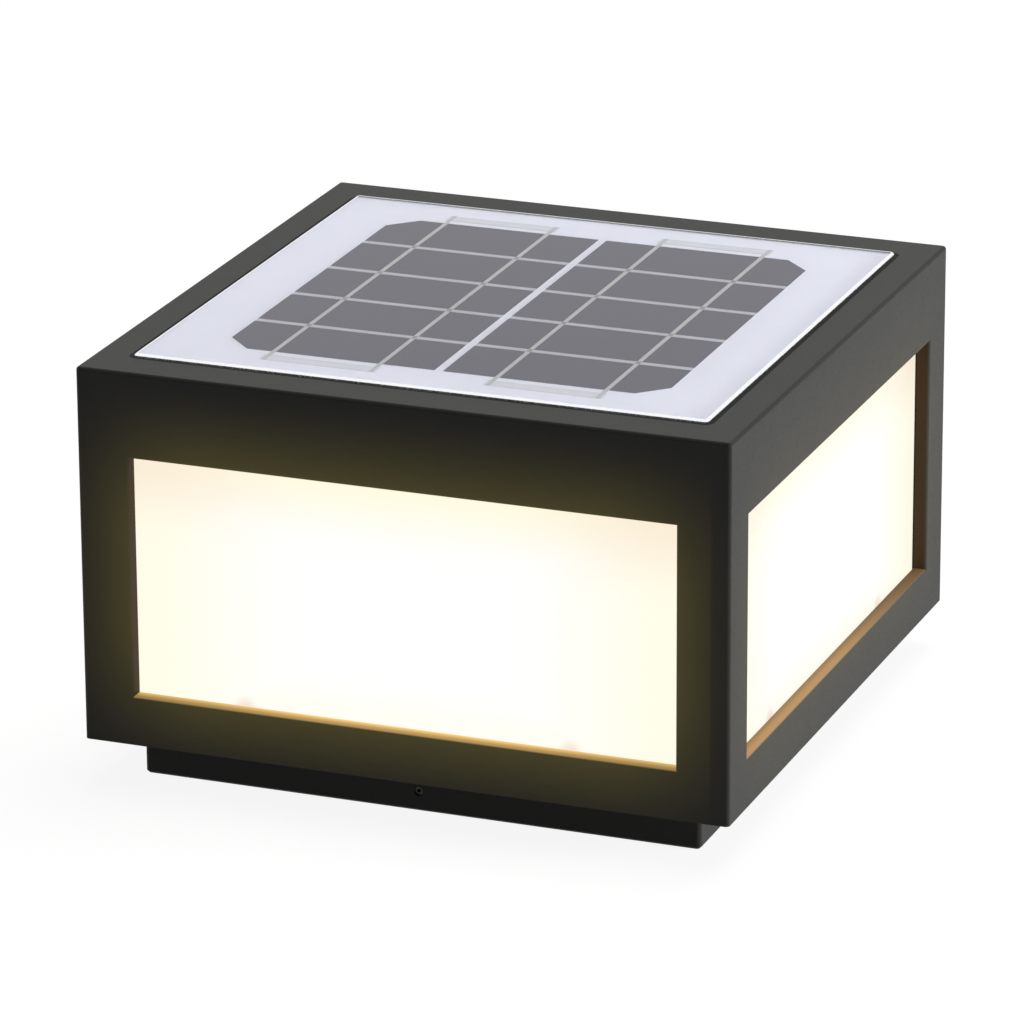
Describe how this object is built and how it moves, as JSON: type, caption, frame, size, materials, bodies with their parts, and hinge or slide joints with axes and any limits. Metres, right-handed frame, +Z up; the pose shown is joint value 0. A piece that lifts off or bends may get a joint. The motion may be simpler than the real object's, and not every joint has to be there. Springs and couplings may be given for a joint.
{
  "type": "solar pillar light",
  "caption": "Square solar pillar light: a dark cast lantern head with a glowing window in each side and a solar panel in its roof, on a low plinth that bolts to a pillar.",
  "frame": {"origin": "centre of the plinth's underside, on the top of the pillar", "axes": "+Z up out of the pillar, -Y out of the front window, +X out of the right-hand window"},
  "size_m": [0.23, 0.23, 0.149],
  "materials": {
    "charcoal_coat": "fine-textured charcoal powder coat on die-cast aluminium",
    "opal_acrylic": "opal white acrylic, lit warm white from inside",
    "clear_glass": "clear tempered solar glass with a polished edge",
    "white_backsheet": "white laminated backsheet",
    "silicon_cell": "dark blue-grey monocrystalline silicon with fine contact lines",
    "tinned_ribbon": "tinned copper ribbon, dull silver",
    "black_rubber": "black silicone, matt",
    "white_coat": "white reflective powder coat",
    "zinc_steel": "zinc-plated steel",
    "black_steel": "black oxide steel",
    "board_white": "white solder mask on an aluminium board",
    "board_green": "green solder mask on glass fibre board",
    "led_yellow": "yellow phosphor in a white package",
    "black_plastic": "black moulded plastic",
    "white_plastic": "natural white moulded nylon",
    "cell_sleeve": "blue shrink sleeve",
    "lead_red": "red PVC insulation",
    "button_red": "red moulded button",
    "bare_cast": "cast aluminium, as machined"
  },
  "bodies": {
    "base": {"base_plinth": "charcoal_coat"},
    "head": {"housing": "charcoal_coat", "bottom_plate": "charcoal_coat", "diffuser_front": "opal_acrylic", "diffuser_right": "opal_acrylic", "diffuser_back": "opal_acrylic", "diffuser_left": "opal_acrylic", "diffuser_seals": "black_rubber", "diffuser_clips": "zinc_steel", "clip_screws": "zinc_steel", "solar_backsheet": "white_backsheet", "solar_cells": "silicon_cell", "cell_ribbons": "tinned_ribbon", "bus_ribbons": "tinned_ribbon", "solar_glass": "clear_glass", "panel_seal": "black_rubber", "junction_box": "black_plastic", "light_tray": "white_coat", "tray_screws": "zinc_steel", "lead_grommets": "black_rubber", "led_board": "board_white", "led_chips": "led_yellow", "led_board_screws": "zinc_steel", "battery_holder": "black_plastic", "battery_contacts": "tinned_ribbon", "battery_cells": "cell_sleeve", "control_board": "board_green", "board_standoffs": "white_plastic", "controller_chip": "black_plastic", "charge_coil": "black_plastic", "board_capacitors": "bare_cast", "board_plugs": "white_plastic", "solar_lead": "lead_red", "battery_lead": "lead_red", "led_lead": "lead_red", "switch_lead": "lead_red", "bottom_gasket": "black_rubber", "bottom_screws": "zinc_steel", "floor_reflector": "white_plastic", "switch_body": "black_plastic", "switch_washer": "black_rubber", "switch_nut": "zinc_steel"},
    "button": {"switch_button": "button_red"},
    "front_lock_screw": {"lock_screw_front": "black_steel"},
    "back_lock_screw": {"lock_screw_back": "black_steel"}
  },
  "joints": [
    {"name": "head_lift", "type": "slide", "parent": "base", "child": "head", "axis": [0, 0, 1], "range_m": [0, 0.06]},
    {"name": "button_press", "type": "slide", "parent": "head", "child": "button", "axis": [0, 0, 1], "range_m": [0, 0.0015], "stiffness_N_per_m": 400, "springref_m": -0.001},
    {"name": "front_lock_screw_travel", "type": "slide", "parent": "base", "child": "front_lock_screw", "axis": [0, -1, 0], "range_m": [0, 0.003]},
    {"name": "back_lock_screw_travel", "type": "slide", "parent": "base", "child": "back_lock_screw", "axis": [0, 1, 0], "range_m": [0, 0.003]}
  ]
}
